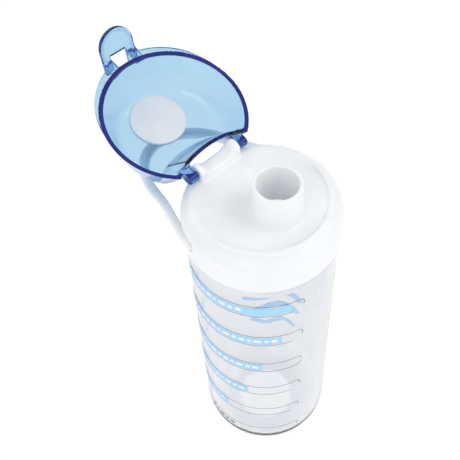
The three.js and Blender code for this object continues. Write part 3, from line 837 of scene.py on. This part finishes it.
def blue_rim_plastic():
    """The lid's cut edge, where the plastic is seen end-on and looks navy. Painted shade: a dark navy copy
    of the blue plastic, which lets less light through, stands in for that end-on look.
    """
    dark, light = (0.012, 0.018, 0.24), (0.018, 0.03, 0.32)
    return clear_plastic("blue_rim", dark, light, BLUE_TINT, BLUE_DENSITY, see_through=0.3)


def blue_print():
    # Painted light: a faint blue glow on the fills stands in for light that comes through the print.
    return ink("blue_ink", (0.3, 0.61, 1.0), (0.36, 0.67, 1.0), painted_glow=(0.04, 0.08, 0.12))


def grey_print():
    return ink("grey_ink", (0.09, 0.1, 0.13), (0.14, 0.15, 0.19))


def white_print():
    return ink("white_ink", (0.9, 0.93, 0.96), (0.96, 0.98, 1.0))


def glowing_wave_print():
    # Painted light: the ink itself is dark; the pale blue of the waves is a painted glow, emission
    # standing in for light coming through the print.
    return ink("glowing_wave_ink", (0.05, 0.1, 0.15), (0.07, 0.12, 0.18), painted_glow=(0.39, 0.63, 0.9))


# ---- the stage ----
FLOOR_HALF, FLOOR_COLOUR, FLOOR_ROUGHNESS, FLOOR_GLOW = 20.0, (0.45, 0.45, 0.45, 1), 0.9, 0.62
BACKDROP_LIGHT, BACKDROP_SEEN = 0.64, 1.0
WHITE = (1, 1, 1, 1)
LAMP_TARGET = (0, 0.02, 0.16)
LAMPS = [  # name, place, size, power
    ("key", (0.5, -0.6, 1.0), 0.7, 4.0),
    ("fill", (-0.9, -0.3, 0.7), 0.8, 2.8),
    ("back", (0.1, 0.9, 0.8), 0.8, 1.8),
]
EYE_PLACE, EYE_LENS, EYE_SENSOR = (-0.1530, -0.1580, 0.4683), 57.9, 36
EYE_AZIMUTH, EYE_ELEVATION, EYE_ROLL = math.radians(-40.0), math.radians(52.377), math.radians(-4.421)


def floor():
    size = FLOOR_HALF
    mesh = bpy.data.meshes.new("floor")
    corners = [(-size, -size, 0), (size, -size, 0), (size, size, 0), (-size, size, 0)]
    mesh.from_pydata(corners, [], [(0, 1, 2, 3)])
    piece = bpy.data.objects.new("floor", mesh)
    bpy.context.scene.collection.objects.link(piece)
    material, _, _, shader = new_material("floor_white")
    shader.inputs["Base Color"].default_value = FLOOR_COLOUR
    shader.inputs["Roughness"].default_value = FLOOR_ROUGHNESS
    shader.inputs["Emission Color"].default_value = WHITE
    shader.inputs["Emission Strength"].default_value = FLOOR_GLOW
    piece.data.materials.append(material)


def soft_light(name, spot, size, power):
    data = bpy.data.lights.new(name, "AREA")
    data.size = size
    data.energy = power
    lamp = bpy.data.objects.new(name, data)
    lamp.location = spot
    lamp.rotation_euler = (Vector(LAMP_TARGET) - Vector(spot)).to_track_quat("-Z", "Y").to_euler()
    bpy.context.scene.collection.objects.link(lamp)


def backdrop():
    """A white sky that lights the scene a little less than it shows."""
    world = bpy.data.worlds.new("studio")
    world.use_nodes = True
    nodes, links = world.node_tree.nodes, world.node_tree.links
    sky = next(n for n in nodes if n.type == "BACKGROUND")
    sky.inputs["Color"].default_value = WHITE
    seen = nodes.new("ShaderNodeMapRange")
    seen.inputs["To Min"].default_value = BACKDROP_LIGHT
    seen.inputs["To Max"].default_value = BACKDROP_SEEN
    path = nodes.new("ShaderNodeLightPath")
    links.new(path.outputs["Is Camera Ray"], seen.inputs["Value"])
    links.new(seen.outputs["Result"], sky.inputs["Strength"])
    bpy.context.scene.world = world
    bpy.context.scene.view_settings.view_transform = "Standard"


def camera():
    level = math.cos(EYE_ELEVATION)
    sideways, forwards = math.sin(EYE_AZIMUTH), math.cos(EYE_AZIMUTH)
    back = Vector((sideways * level, -forwards * level, math.sin(EYE_ELEVATION)))
    right = Vector((forwards, sideways, 0))
    up = back.cross(right)
    x_axis = right * math.cos(EYE_ROLL) + up * math.sin(EYE_ROLL)
    y_axis = -right * math.sin(EYE_ROLL) + up * math.cos(EYE_ROLL)
    data = bpy.data.cameras.new("camera")
    data.sensor_width = EYE_SENSOR
    data.lens = EYE_LENS
    eye = bpy.data.objects.new("camera", data)
    facing = Matrix((x_axis, y_axis, back)).transposed().to_4x4()
    eye.matrix_world = Matrix.Translation(EYE_PLACE) @ facing
    bpy.context.scene.collection.objects.link(eye)
    bpy.context.scene.camera = eye


# ---- putting it together ----
def place(piece, material, body, slot, *nodes):
    piece.data.materials.append(material)
    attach(piece, body)
    if nodes:
        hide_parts(*nodes)


camera()
for lamp in LAMPS:
    soft_light(*lamp)
backdrop()
floor()

white = white_plastic()
silicone = soft_silicone()
clear = clear_body_plastic()
blue = blue_plastic()
navy = blue_rim_plastic()
blue_ink = blue_print()
grey_ink = grey_print()
white_ink = white_print()
glowing_wave_ink = glowing_wave_print()

place(bottle(), clear, "bottle", "clear_plastic", "bottle_body")
place(neck_thread(), clear, "bottle", "clear_plastic")
place(printed_outlines(), grey_ink, "bottle", "print_grey")
place(printed_marks(), grey_ink, "bottle", "print_grey")
place(printed_fills(), blue_ink, "bottle", "print_blue")
place(printed_dashes(), white_ink, "bottle", "print_white")
place(printed_waves(), glowing_wave_ink, "bottle", "print_blue")
place(screw_cap(), white, "cap", "white_plastic", "screw_cap")
place(carry_loop(), white, "cap", "white_plastic", "carry_loop")
lid_shell = flip_lid()
place(lid_shell, blue, "lid", "blue_plastic", "flip_lid")
# the faces on the cut edge take the painted navy shade
lid_shell.data.materials.append(navy)
place(spout_seal(), silicone, "lid", "silicone", "spout_seal")
for node, material in (("neck_gasket", silicone), ("hinge_pin_left", blue), ("hinge_pin_right", blue)):
    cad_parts[node].data.materials.clear()
    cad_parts[node].data.materials.append(material)
